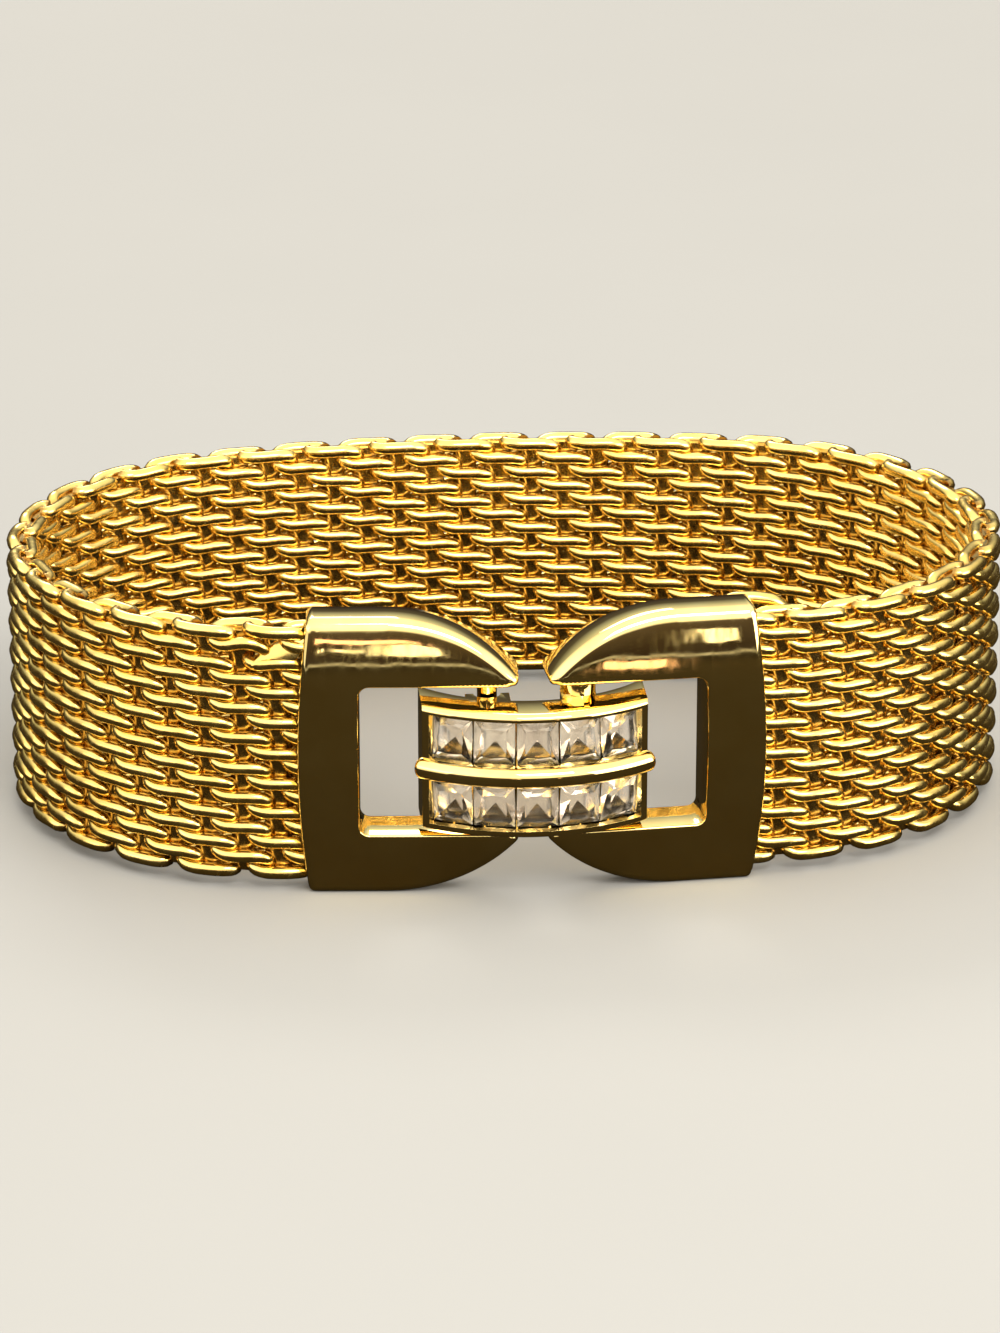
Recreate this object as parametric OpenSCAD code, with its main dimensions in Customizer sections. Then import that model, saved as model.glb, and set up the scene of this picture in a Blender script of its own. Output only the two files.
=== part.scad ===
// Mesh bracelet with a bow clasp and a jewelled bar, closed, lying on the edge of its band.
// Millimetres, Z up. X runs along the loop's length and Y from the clasp to the back.
// The origin is the bottom centre of the whole closed bracelet.

/* [Band] */
// Width of the woven band, which is its height as it lies
band_h = 19; // [16:0.5:24]
// Thickness of the woven band
band_t = 2.4; // [1.6:0.1:3]
// Length of the closed loop, outside to outside
loop_w = 73; // [66:0.5:80]
// Outer radius of the loop's two rounded ends
end_r = 20.6; // [19:0.2:22.6]
// How far the back stretch bows out past the rounded ends
rear_bow = 1.7; // [1:0.1:4]
// Turn of the loop on the surface, seen from above
loop_turn = 5; // [0:0.5:12]

/* [Bow frames] */
// Half the bow's width, from its middle to the outer edge
bow_half_w = 16.6; // [15:0.1:18]
// Depth of a frame, front to back
frame_t = 4; // [3.6:0.1:4.4]
// How far the frames reach past the band's edges, above and below
frame_over = 0.8; // [0.4:0.1:1.2]
// How far each half leans back from the bow's middle
bow_lean = 4.5; // [0:0.5:8]
// Height of the window through a frame
window_h = 11; // [10.6:0.1:12]
// Width of the upright bar between the window and the band
upright_w = 4.3; // [3:0.1:5]
// Radius of the window's corners
window_corner_r = 0.7; // [0.3:0.1:1.5]
// Where the arms' outer edges start to curve, from the bow's middle
arm_start = 10.5; // [8:0.1:12]
// Gap between the tips of the two halves
tip_gap = 2.3; // [1:0.1:4]
// Radius of each rounded tip
tip_r = 0.4; // [0.3:0.05:0.7]
// How far the face falls back at its top and bottom edges
face_dome = 1.3; // [0.3:0.1:1.5]
// How far the outer edge bulges at mid-height
edge_bulge = 0.7; // [0.2:0.1:1.2]
// Chamfer along the outer edge of the face
edge_chamfer = 0.8; // [0.3:0.1:0.9]
// Thickness of the lip that covers the end of the band
lip_t = 1.5; // [1.3:0.05:1.8]
// How far the band's end reaches in behind the lip
seat_d = 1.5; // [0.8:0.1:2]
// Gap between the band's end and its seat
seat_gap = 0.1; // [0.05:0.05:0.2]

/* [Hinge and catch posts] */
// Distance of each post from the bow's middle
post_spread = 3.35; // [3:0.05:4]
// Depth of the posts' axes behind the frames' face
post_depth = 1.9; // [1.8:0.05:2.2]
// Radius of a post
post_r = 0.7; // [0.5:0.05:0.75]
// How far a post runs into the arms
post_root = 0.6; // [0.3:0.1:0.8]
// Running gap between the hinge post and its sleeve
hinge_gap = 0.05; // [0.02:0.01:0.09]
// Wall of the hinge sleeve
sleeve_t = 0.5; // [0.4:0.05:0.6]
// Gap between the sleeve's ends and the arms
sleeve_end_gap = 0.15; // [0.1:0.05:0.4]
// Gap round the catch post in its groove
catch_gap = 0.25; // [0.15:0.05:0.3]
// Wall beside the catch groove
catch_wall = 0.6; // [0.4:0.05:0.8]

/* [Jewelled bar] */
// Width of the bar
bar_w = 15.8; // [14.5:0.1:16.5]
// Height of the bar
bar_h = 9.2; // [8.8:0.1:9.8]
// Outer radius of the bar's arch, seen from above
bar_r = 13.5; // [12.8:0.1:16]
// Thickness of the bar
bar_t = 3; // [2.8:0.1:3.2]
// How far the bar's middle stands in front of the frames
bar_rise = 2.6; // [2.4:0.1:3]
// Height of the rails above and below the stones
rail_h = 0.55; // [0.4:0.05:0.8]
// Thickness of the walls at the ends of the rows
end_wall = 0.45; // [0.35:0.05:0.8]
// Depth of the channels that hold the stones
channel_d = 2.1; // [2:0.05:2.3]
// Radius of the half-round ridge between the rows
ridge_r = 0.8; // [0.6:0.05:0.9]
// How far the ridge stands in front of the rails
ridge_proud = 0.7; // [0.4:0.05:0.8]
// How far the ridge runs past the ends of the bar
ridge_over = 0.4; // [0:0.1:0.8]

/* [Stones] */
// Stones in each row
stones_in_row = 5; // [4:1:7]
// Gap round each stone
stone_gap = 0.05; // [0.03:0.01:0.1]
// How far the tables lie behind the rails
table_inset = 0.1; // [0:0.05:0.2]
// Lean of the tables away from the ridge
row_lean = 5; // [0:0.5:7]
// Height of a stone's crown
crown_h = 0.45; // [0.3:0.05:0.6]
// Thickness of a stone's girdle
girdle_t = 0.12; // [0.06:0.02:0.2]
// Depth of a stone's pavilion
pavilion_h = 1.2; // [0.9:0.05:1.25]
// Width of the table, as a share of the stone's width
table_share = 0.62; // [0.5:0.01:0.75]

/* [Hidden] */
$fn = 96;
ROWS = [["upper", 1], ["lower", -1]];
GOLD = [0.85, 0.68, 0.25];
MESH_GOLD = [0.80, 0.62, 0.20];
CRYSTAL = [0.82, 0.80, 0.80];
// Cutting shapes run this far past what they cut
over = 1;
// Joined shapes run this far into each other
weld = 0.2;

mid_z = band_h / 2 + frame_over;
window_out = bow_half_w - upright_w;

// The band's end reaches in behind the lip to this plane of the leaning frame, in a slot this high
seat_u = bow_half_w - seat_d;
seat_h = band_h + 2 * seat_gap;
// Depth of the band's outer face where it meets the bow
band_front = bow_half_w * sin(bow_lean) + (lip_t + seat_gap) / cos(bow_lean);

// Centres of the right end's arc and of the back stretch's arc, seen from the bow's middle
end_x = loop_w / 2 - end_r;
end_y = band_front + end_r;
rear_rise = end_r + rear_bow;
rear_r = (end_x^2 + rear_rise^2 - end_r^2) / (2 * rear_bow);
rear_y = end_y + rear_rise - rear_r;
// Where the end's arc passes into the back stretch, and where it starts inside the frame
rear_angle = atan2(end_y - rear_y, end_x);
start_angle = -acos((seat_u - over - end_x) / (end_r - band_t));
// Straight steps that each rounded end and the back stretch are drawn in
end_steps = 48;
rear_steps = 14;
// Straight steps in the curves of a frame's outline
edge_steps = 5;
arm_steps = 18;
tip_steps = 8;
corner_steps = 4;

// The jewelled bar's arch is centred behind its front
bar_y = bar_r - bar_rise;
ridge_angle = asin((bar_w / 2 + ridge_over) / bar_r);
channel_angle = asin((bar_w / 2 - end_wall) / bar_r);
row_low = ridge_r;
row_h = bar_h / 2 - rail_h - row_low;

// The hinge axis, once its frame leans, and the catch's mirrored one
hinge_x = post_spread * cos(bow_lean) - post_depth * sin(bow_lean);
hinge_y = post_spread * sin(bow_lean) + post_depth * cos(bow_lean);
bore_r = post_r + hinge_gap;
sleeve_r = bore_r + sleeve_t;
groove_r = post_r + catch_gap;
catch_half_w = groove_r + catch_wall;

// Stones stand a step apart round the arch, each as wide as its step allows
stone_step = 2 * channel_angle / stones_in_row;
table_r = bar_r - table_inset;
girdle_r = table_r - crown_h;
stone_half_w = (girdle_r - girdle_t) * tan(stone_step / 2) - stone_gap;
stone_half_h = row_h / 2 - stone_gap;

// Place of the bow's middle, which puts the origin under the middle of the whole
bow_x = end_y * sin(loop_turn);
back_edge = rear_y * cos(loop_turn) + rear_r;
front_edge = bar_y * cos(loop_turn) - bar_r - ridge_proud;
bow_y = -(back_edge + front_edge) / 2;

// Moves from the bow's own place to the bracelet's frame
module on_bracelet() {
    translate([bow_x, bow_y, 0])
        rotate([0, 0, loop_turn])
            children();
}

// Points on an arc about a centre, without its first one
function arc_points(centre, r, from, to, steps) = [
    for (i = [1 : steps])
        let (a = from + (to - from) * i / steps)
            centre + r * [cos(a), sin(a)]
];

// The loop seen from above, at a depth inside the band's outer face, from the right frame round to the left
function loop_line(depth) = concat(
    arc_points([end_x, end_y], end_r - depth, start_angle, rear_angle, end_steps),
    arc_points([0, rear_y], rear_r - depth, rear_angle, 180 - rear_angle, rear_steps),
    arc_points([-end_x, end_y], end_r - depth, 180 - rear_angle, 180 - start_angle, end_steps)
);

function reversed(list) = [for (i = [len(list) - 1 : -1 : 0]) list[i]];

// The space that the right frame takes from the band, with the seat's gap
module band_stop() {
    rotate([0, 0, bow_lean]) {
        translate([-over, -band_h, -over])
            cube([seat_u + seat_gap + over, 2 * band_h, band_h + 2 * over]);
        translate([0, -band_h, -over])
            cube([bow_half_w + 2 * over, band_h + lip_t + seat_gap, band_h + 2 * over]);
    }
}

module mesh_band() {
    color(MESH_GOLD)
        on_bracelet()
            translate([0, 0, frame_over])
                difference() {
                    linear_extrude(band_h)
                        polygon(concat(loop_line(0), reversed(loop_line(band_t))));
                    band_stop();
                    mirror([1, 0, 0])
                        band_stop();
                }
}

// Upper half of a frame's outline: x away from the bow's middle, y up from mid-height. It runs up the
// outer edge, along the arm, round the tip and back along the window
function upper_outline() =
    let (
        bulge_r = (mid_z^2 + edge_bulge^2) / (2 * edge_bulge),
        tip = [tip_gap / 2 + tip_r, window_h / 2 + tip_r],
        drop = mid_z - tip[1],
        arm_r = ((arm_start - tip[0])^2 + drop^2 - tip_r^2) / (2 * (drop - tip_r)),
        arm_centre = [arm_start, mid_z - arm_r],
        tip_angle = atan2(tip[1] - arm_centre[1], tip[0] - arm_centre[0]),
        corner = [window_out - window_corner_r, window_h / 2 - window_corner_r]
    )
    concat(
        arc_points([bow_half_w - bulge_r, 0], bulge_r, 0, asin(mid_z / bulge_r), edge_steps),
        [[arm_start, mid_z]],
        arc_points(arm_centre, arm_r, 90, tip_angle, arm_steps),
        arc_points(tip, tip_r, tip_angle, 270, tip_steps),
        [[corner[0], window_h / 2]],
        arc_points(corner, window_corner_r, 90, 0, corner_steps)
    );

module frame_outline() {
    upper = upper_outline();
    lower = [for (point = upper) [point[0], -point[1]]];
    polygon(concat(upper, reversed(lower)));
}

// Cuts the front corner off the outer edge of a frame
module edge_cut() {
    side = 4 * frame_t;
    translate([bow_half_w - edge_chamfer, 0, 0])
        rotate([0, 0, 45])
            translate([-side / 2, -side, -mid_z - over])
                cube([side, side, 2 * mid_z + 2 * over]);
}

// The right half of the bow, upright, with its face at y = 0 and z from mid-height
module half_bow() {
    dome_r = (mid_z^2 + face_dome^2) / (2 * face_dome);
    difference() {
        intersection() {
            translate([0, frame_t, 0])
                rotate([90, 0, 0])
                    linear_extrude(frame_t)
                        frame_outline();
            translate([0, dome_r, 0])
                rotate([0, 90, 0])
                    cylinder(r = dome_r, h = 2 * bow_half_w, $fn = 256);
        }
        edge_cut();
        translate([seat_u, lip_t, -seat_h / 2])
            cube([bow_half_w, frame_t, seat_h]);
    }
    post_h = window_h + 2 * post_root;
    translate([post_spread, post_depth, -post_h / 2])
        cylinder(r = post_r, h = post_h);
}

module placed_half_bow() {
    translate([0, 0, mid_z])
        rotate([0, 0, bow_lean])
            half_bow();
}

module left_frame() {
    color(GOLD)
        on_bracelet()
            mirror([1, 0, 0])
                placed_half_bow();
}

module right_frame() {
    color(GOLD)
        on_bracelet()
            placed_half_bow();
}

// Turns a section round the bar's arch, to the same angle on both sides
module arch(half_angle) {
    translate([0, bar_y, 0])
        rotate([0, 0, -90 - half_angle])
            rotate_extrude(angle = 2 * half_angle)
                children();
}

// A block behind the bar's back, as deep as the hinge axis
module backing(x, half_w) {
    intersection() {
        translate([x - half_w, -bar_r, -bar_h / 2])
            cube([2 * half_w, bar_r + hinge_y, bar_h]);
        translate([0, bar_y, -bar_h / 2])
            cylinder(r = bar_r - bar_t + weld, h = bar_h, $fn = 256);
    }
}

// The arched body with its ridge and its two channels
module bar_body() {
    difference() {
        union() {
            intersection() {
                arch(ridge_angle + 2 * over)
                    translate([bar_r - bar_t, -bar_h / 2])
                        square([bar_t, bar_h]);
                translate([-bar_w / 2, -bar_r, -bar_h])
                    cube([bar_w, 2 * bar_r, 2 * bar_h]);
            }
            arch(ridge_angle)
                translate([bar_r + ridge_proud - ridge_r, 0])
                    circle(ridge_r, $fn = 48);
        }
        for (row = ROWS)
            arch(channel_angle)
                translate([bar_r - channel_d, row[1] > 0 ? row_low : -row_low - row_h])
                    square([channel_d + over, row_h]);
    }
}

// Sleeve on the right, hinged on its post, and open groove on the left, which the catch post rests in
module clasp_bar() {
    sleeve_h = window_h - 2 * sleeve_end_gap;
    color(GOLD)
        on_bracelet()
            translate([0, 0, mid_z])
                difference() {
                    union() {
                        bar_body();
                        backing(hinge_x, sleeve_r);
                        backing(-hinge_x, catch_half_w);
                        translate([hinge_x, hinge_y, -sleeve_h / 2])
                            cylinder(r = sleeve_r, h = sleeve_h);
                    }
                    translate([hinge_x, hinge_y, -window_h])
                        cylinder(r = bore_r, h = 2 * window_h);
                    translate([-hinge_x, hinge_y, -window_h])
                        cylinder(r = groove_r, h = 2 * window_h);
                }
}

// Eight points round a stone: its corners at full size and its sides' middles pushed out by a share
function stone_ring(share, mid_share, depth) = [
    for (k = [0 : 7])
        let (a = 45 * k, corner = k % 2 == 1)
            [
                stone_half_w * sign(round(10 * cos(a))) * (corner ? share : mid_share),
                stone_half_h * sign(round(10 * sin(a))) * (corner ? share : mid_share),
                depth
            ]
];

// A square cut stone: table up at z = 0, eight crown facets, girdle, and sixteen pavilion facets
module cut_stone() {
    corner_crown = table_share * 0.94;
    pavilion_step = [0.62, 0.50, 0.55];
    base = -crown_h - girdle_t;
    rings = [
        stone_ring(corner_crown, table_share, 0),
        stone_ring(1, 1, -crown_h),
        stone_ring(1, 1, base),
        stone_ring(pavilion_step[0], pavilion_step[1], base - pavilion_step[2] * pavilion_h)
    ];
    culet = [0, 0, base - pavilion_h];
    points = concat([for (ring = rings) each ring], [culet]);
    last = 8 * (len(rings) - 1);
    faces = concat(
        [for (k = [1 : 6]) [0, k + 1, k]],
        [for (r = [0 : len(rings) - 2]) for (k = [0 : 7])
            let (near = 8 * r + k, next = 8 * r + (k + 1) % 8)
                each [[near, next, next + 8], [near, next + 8, near + 8]]],
        [for (k = [0 : 7]) [last + k, last + (k + 1) % 8, last + 8]]
    );
    polyhedron(points, faces);
}

// A stone in its channel: the place counts from the left, the side is 1 above the ridge and -1 below
module row_stone(side, place) {
    turn = (place - (stones_in_row + 1) / 2) * stone_step;
    color(CRYSTAL)
        on_bracelet()
            translate([0, bar_y, mid_z + side * (row_low + row_h / 2)])
                rotate([0, 0, turn])
                    translate([0, -table_r, 0])
                        rotate([90 - side * row_lean, 0, 0])
                            cut_stone();
}

mesh_band();
left_frame();
right_frame();
clasp_bar();
for (row = ROWS)
    for (place = [1 : stones_in_row])
        row_stone(row[1], place);
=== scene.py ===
"""Looks of a gold-tone mesh bracelet with a bow clasp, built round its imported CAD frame.

Shapes are worked out in millimetres. X runs along the bow, Y goes back into the bracelet and Z is up.
"The bow's place" is the frame in which the bow's middle is at x = y = 0. Its points become the model's
in to_model().
"""

import math

import bmesh
import bpy
import numpy as np
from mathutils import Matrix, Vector
from mathutils.geometry import delaunay_2d_cdt


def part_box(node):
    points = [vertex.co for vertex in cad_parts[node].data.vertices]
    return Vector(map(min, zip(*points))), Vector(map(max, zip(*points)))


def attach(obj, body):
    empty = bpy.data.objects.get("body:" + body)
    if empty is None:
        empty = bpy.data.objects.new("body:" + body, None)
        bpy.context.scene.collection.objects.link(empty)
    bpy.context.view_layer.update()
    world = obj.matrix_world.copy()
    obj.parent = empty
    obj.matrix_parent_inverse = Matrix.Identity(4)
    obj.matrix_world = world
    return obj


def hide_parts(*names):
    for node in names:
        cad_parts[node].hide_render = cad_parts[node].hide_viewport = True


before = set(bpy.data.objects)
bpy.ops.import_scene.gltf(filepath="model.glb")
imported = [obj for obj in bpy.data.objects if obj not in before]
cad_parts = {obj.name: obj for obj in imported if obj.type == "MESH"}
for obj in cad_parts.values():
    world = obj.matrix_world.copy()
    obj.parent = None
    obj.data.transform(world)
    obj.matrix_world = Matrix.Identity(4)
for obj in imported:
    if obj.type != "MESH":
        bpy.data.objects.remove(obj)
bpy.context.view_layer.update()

MM = 0.001
RANDOM = np.random.default_rng(7)

# Sizes that the CAD solids have too, in millimetres
LOOP_W = 73.0
END_R = 20.6
REAR_BOW = 1.7
BAND_T = 2.4
LOOP_TURN = math.radians(5.0)
BOW_HALF_W = 16.6
BOW_LEAN = math.radians(4.5)
FRAME_T = 4.0
WINDOW_H = 11.0
UPRIGHT_W = 4.3
WINDOW_CORNER_R = 0.7
ARM_START = 10.5
TIP_GAP = 2.3
TIP_R = 0.4
FACE_DOME = 1.3
EDGE_BULGE = 0.7
LIP_T = 1.5
SEAT_D = 1.5
SEAT_GAP = 0.1
POST_SPREAD = 3.35
POST_DEPTH = 1.9
POST_R = 0.7
SLEEVE_R = 1.25
BORE_R = 0.75
GROOVE_R = 0.95
SLEEVE_H = 10.7
BAR_W = 15.8
BAR_H = 9.2
BAR_R = 13.5
BAR_T = 3.0
BAR_RISE = 2.6
RAIL_H = 0.55
END_WALL = 0.45
CHANNEL_D = 2.1
RIDGE_R = 0.8
RIDGE_PROUD = 0.7
RIDGE_OVER = 0.4
STONES_IN_ROW = 5
STONE_GAP = 0.05
TABLE_INSET = 0.1
ROW_LEAN = math.radians(5.0)
CROWN_H = 0.45
GIRDLE_T = 0.12
PAVILION_H = 1.2

# The band's height, and the places that follow from it. The frames reach down to the floor
BAND_LOW, BAND_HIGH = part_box("mesh_band")
BASE_Z = BAND_LOW.z / MM
BAND_H = BAND_HIGH.z / MM - BASE_Z
MID_Z = BASE_Z + BAND_H / 2
END_X = LOOP_W / 2 - END_R
END_Y = BOW_HALF_W * math.sin(BOW_LEAN) + (LIP_T + SEAT_GAP) / math.cos(BOW_LEAN) + END_R
REAR_RISE = END_R + REAR_BOW
REAR_R = (END_X**2 + REAR_RISE**2 - END_R**2) / (2 * REAR_BOW)
REAR_Y = END_Y + REAR_RISE - REAR_R
REAR_ANGLE = math.atan2(END_Y - REAR_Y, END_X)
BOW_X = END_Y * math.sin(LOOP_TURN)
BOW_Y = BAND_HIGH.y / MM - REAR_Y * math.cos(LOOP_TURN) - REAR_R
BAR_Y = BAR_R - BAR_RISE
CHANNEL_ANGLE = math.asin((BAR_W / 2 - END_WALL) / BAR_R)
RIDGE_ANGLE = math.asin((BAR_W / 2 + RIDGE_OVER) / BAR_R)
ROW_H = BAR_H / 2 - RAIL_H - RIDGE_R
HINGE_X = POST_SPREAD * math.cos(BOW_LEAN) - POST_DEPTH * math.sin(BOW_LEAN)
HINGE_Y = POST_SPREAD * math.sin(BOW_LEAN) + POST_DEPTH * math.cos(BOW_LEAN)

# The weave: interlocked flat coils that stand across the band, each round a crimped pin
WIRE_R = 0.48
PIN_HALF_W = 0.92
PIN_HALF_D = 0.34
PIN_CRIMP = 0.10
COIL_W = 4.9
COIL_STEP = 2.56
TURNS = 8
TURN_PITCH = (BAND_H - 2 * WIRE_R) / TURNS
# How square a coil is, seen along its axis: 2 is an ellipse
COIL_SQUARENESS = 2.7
# How much of a coil's climb is gathered in the turns at its sides
CLIMB_SHARE = 0.112
# Gap between the outermost wires and the seats of the frames
END_GAP = 0.05
# From each end of the band to the middle of its outermost coil
FIRST_COIL = 0.3
# How much the coils differ: their climb, as a share, and their wires in height and along the band
CLIMB_SPREAD = 0.08
HEIGHT_SPREAD = 0.035
ALONG_SPREAD = 0.03
# Turns at which a wire's random drift is drawn, from before a coil's first to after its last
WANDER_TURNS = np.arange(-2, TURNS + 4)
# How finely the wires and pins are made
SECTION_POINTS = 1441
POINTS_PER_TURN = 36
PIN_POINTS_PER_TURN = 8
FLAT_WIRE_POINTS = 30
LOOP_WIRE_POINTS = 40
WIRE_SIDES = 10
COILS_PER_PIECE = 20

# Damage beside the left frame: where the weave is pulled open, from the band's end and from the floor
HOLE_FROM_END = 5.0
HOLE_Z = 17.9
HOLE_R = 1.3
HOLE_PULL = 0.5
HOLE_SOFTNESS = 0.4
# The flattened wire next to it: distance from the band's end, height and half its own height
FLAT_WIRE = ((4.5, 17.0, 0.2), (3.6, 17.4, 0.75), (2.4, 18.0, 1.05), (1.5, 18.5, 1.0), (0.9, 18.8, 0.6))
FLAT_WIRE_HALF_D = 0.25
# How much its top leans back into the weave
FLAT_WIRE_SLOPE = 0.4
# The thick loop behind the right frame's top corner: length along the band and height
LOOP_WIRE = ((3.6, 19.0), (2.6, 19.8), (1.2, 20.05), (-0.6, 20.05), (-1.8, 19.2))
LOOP_WIRE_R = 0.5


def to_model(points):
    """Points of the bow's place, in millimetres, as points of the model, in metres."""
    x, y, z = np.asarray(points, float).T
    c = math.cos(LOOP_TURN)
    s = math.sin(LOOP_TURN)
    return np.stack([BOW_X + x * c - y * s, BOW_Y + x * s + y * c, z], axis=-1) * MM


def new_object(name, points, faces, material, smooth_angle=None):
    """A mesh object, with smooth shading apart from edges sharper than smooth_angle, in degrees."""
    mesh = bpy.data.meshes.new(name)
    mesh.from_pydata(np.asarray(points).tolist(), [], [list(map(int, f)) for f in faces])
    mesh.materials.append(material)
    turn_outward(mesh)
    obj = bpy.data.objects.new(name, mesh)
    bpy.context.scene.collection.objects.link(obj)
    if smooth_angle is not None:
        shade_smooth(mesh, smooth_angle)
    return obj


def turn_outward(mesh):
    """Turns the faces of closed shapes so that they look outward."""
    shape = bmesh.new()
    shape.from_mesh(mesh)
    bmesh.ops.recalc_face_normals(shape, faces=shape.faces)
    shape.to_mesh(mesh)
    shape.free()


def shade_smooth(mesh, angle):
    """Smooth shading apart from edges sharper than angle, in degrees."""
    mesh.polygons.foreach_set("use_smooth", [True] * len(mesh.polygons))
    mesh.set_sharp_from_angle(angle=math.radians(angle))


def apply_modifiers(obj):
    """Bakes the object's modifiers into its mesh."""
    graph = bpy.context.evaluated_depsgraph_get()
    mesh = bpy.data.meshes.new_from_object(obj.evaluated_get(graph))
    obj.modifiers.clear()
    obj.data = mesh


def combine(obj, other, operation):
    """Joins another closed object to this one, or cuts it away, and removes the other."""
    modifier = obj.modifiers.new("combine", "BOOLEAN")
    modifier.operation = operation
    modifier.solver = "EXACT"
    modifier.object = other
    apply_modifiers(obj)
    bpy.data.objects.remove(other)


def round_edges(obj, width, steps, angle):
    """Rounds every edge sharper than angle, in degrees. The width is in millimetres."""
    modifier = obj.modifiers.new("round", "BEVEL")
    modifier.width = width * MM
    modifier.segments = steps
    modifier.limit_method = "ANGLE"
    modifier.angle_limit = math.radians(angle)
    apply_modifiers(obj)


def finish_piece(obj, body, slot, *nodes):
    """The piece rides on its body and stands for its CAD nodes, which are hidden. Its slot is not used."""
    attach(obj, body)
    if nodes:
        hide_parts(*nodes)


# Materials

# Most values of a noise lie between these
NOISE_LOW = 0.3
NOISE_HIGH = 0.7


def node_material(name):
    """A new node material, with its tree and its Principled shader."""
    material = bpy.data.materials.new(name)
    material.use_nodes = True
    tree = material.node_tree
    return material, tree, tree.nodes["Principled BSDF"]


def noise(tree, scale, detail=3.0, stretch=(1, 1, 1)):
    """Noise with this many features to the metre, stretched along the object's axes."""
    place = tree.nodes.new("ShaderNodeTexCoord")
    mapping = tree.nodes.new("ShaderNodeMapping")
    mapping.inputs["Scale"].default_value = stretch
    texture = tree.nodes.new("ShaderNodeTexNoise")
    texture.inputs["Scale"].default_value = scale
    texture.inputs["Detail"].default_value = detail
    tree.links.new(place.outputs["Object"], mapping.inputs["Vector"])
    tree.links.new(mapping.outputs["Vector"], texture.inputs["Vector"])
    return texture.outputs["Fac"]


def spread(tree, value, low, high):
    """A noise's values spread over another range."""
    node = tree.nodes.new("ShaderNodeMapRange")
    node.inputs["From Min"].default_value = NOISE_LOW
    node.inputs["From Max"].default_value = NOISE_HIGH
    node.inputs["To Min"].default_value = low
    node.inputs["To Max"].default_value = high
    tree.links.new(value, node.inputs["Value"])
    return node.outputs["Result"]


def mix_colours(tree, factor, first, second):
    """A mix of two colours, each three numbers or an output of another node."""
    node = tree.nodes.new("ShaderNodeMix")
    node.data_type = "RGBA"
    sockets = {s.name: s for s in node.inputs if s.type == "RGBA"}
    for name, colour in (("A", first), ("B", second)):
        if isinstance(colour, tuple):
            sockets[name].default_value = (*colour, 1)
        else:
            tree.links.new(colour, sockets[name])
    tree.links.new(factor, node.inputs["Factor"])
    return next(s for s in node.outputs if s.type == "RGBA")


def bump(tree, shader, height, depth):
    """Bump that is this deep, in millimetres."""
    node = tree.nodes.new("ShaderNodeBump")
    node.inputs["Strength"].default_value = 1.0
    node.inputs["Distance"].default_value = depth * MM
    tree.links.new(height, node.inputs["Height"])
    tree.links.new(node.outputs["Normal"], shader.inputs["Normal"])


def make_polished_gold():
    """Mirror-polished gold tone, with faint ripples and hairline wear."""
    material, tree, shader = node_material("polished_gold")
    shader.inputs["Metallic"].default_value = 1.0
    patches = spread(tree, noise(tree, 400), 0, 1)
    colour = mix_colours(tree, patches, (0.96, 0.76, 0.32), (0.90, 0.68, 0.25))
    tree.links.new(colour, shader.inputs["Base Color"])
    wear = noise(tree, 2500, 4.0, (1, 1, 0.25))
    tree.links.new(spread(tree, wear, 0.02, 0.07), shader.inputs["Roughness"])
    bump(tree, shader, noise(tree, 350, 1.5), 0.012)
    return material


# Name of the attribute that says how deep in the weave the wire lies, 0 at its faces and 1 midway. It sets
# the wire's painted shade
RECESS = "recess"
# How deep the pins count as lying, which darkens them with painted shade
PIN_RECESS = 0.7
# Where the painted shade of wire deep in the weave starts and where it is full
DEPTH_SHADE_START = 0.35
DEPTH_SHADE_FULL = 0.85


def make_mesh_gold():
    """Gold-tone wire, redder in places, with painted shade that turns it brown where it lies deep in the
    weave.
    """
    material, tree, shader = node_material("gold_mesh")
    shader.inputs["Metallic"].default_value = 1.0
    patches = spread(tree, noise(tree, 250), 0, 1)
    clean = mix_colours(tree, patches, (0.94, 0.71, 0.25), (0.86, 0.59, 0.16))
    recess = tree.nodes.new("ShaderNodeAttribute")
    recess.attribute_name = RECESS
    depth_shade = tree.nodes.new("ShaderNodeMapRange")
    depth_shade.inputs["From Min"].default_value = DEPTH_SHADE_START
    depth_shade.inputs["From Max"].default_value = DEPTH_SHADE_FULL
    tree.links.new(recess.outputs["Fac"], depth_shade.inputs["Value"])
    # Painted shade: the wire is mixed towards brown where it lies deep in the weave
    colour = mix_colours(tree, depth_shade.outputs["Result"], clean, (0.38, 0.22, 0.06))
    tree.links.new(colour, shader.inputs["Base Color"])
    tree.links.new(spread(tree, noise(tree, 1800, 4.0), 0.14, 0.28), shader.inputs["Roughness"])
    bump(tree, shader, noise(tree, 1500, 2.0), 0.01)
    return material


def make_crystal():
    """Clear cut crystal."""
    material, tree, shader = node_material("crystal")
    shader.inputs["Transmission Weight"].default_value = 1.0
    shader.inputs["IOR"].default_value = 1.6
    shader.inputs["Base Color"].default_value = (1.0, 0.98, 0.97, 1)
    tree.links.new(spread(tree, noise(tree, 900), 0.0, 0.006), shader.inputs["Roughness"])
    return material


def make_foil():
    """Silvery foil on the backs of the stones, greyed in places."""
    material, tree, shader = node_material("stone_foil")
    shader.inputs["Metallic"].default_value = 1.0
    patches = spread(tree, noise(tree, 500), 0, 1)
    colour = mix_colours(tree, patches, (1.0, 0.94, 0.83), (0.84, 0.77, 0.68))
    tree.links.new(colour, shader.inputs["Base Color"])
    shader.inputs["Roughness"].default_value = 0.14
    return material


def make_plain(name, colour, roughness):
    """A matt stage surface, with the faintest mottling."""
    material, tree, shader = node_material(name)
    dark = tuple(0.97 * c for c in colour)
    tree.links.new(mix_colours(tree, noise(tree, 30), colour, dark), shader.inputs["Base Color"])
    shader.inputs["Roughness"].default_value = roughness
    return material


# Woven band


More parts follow.
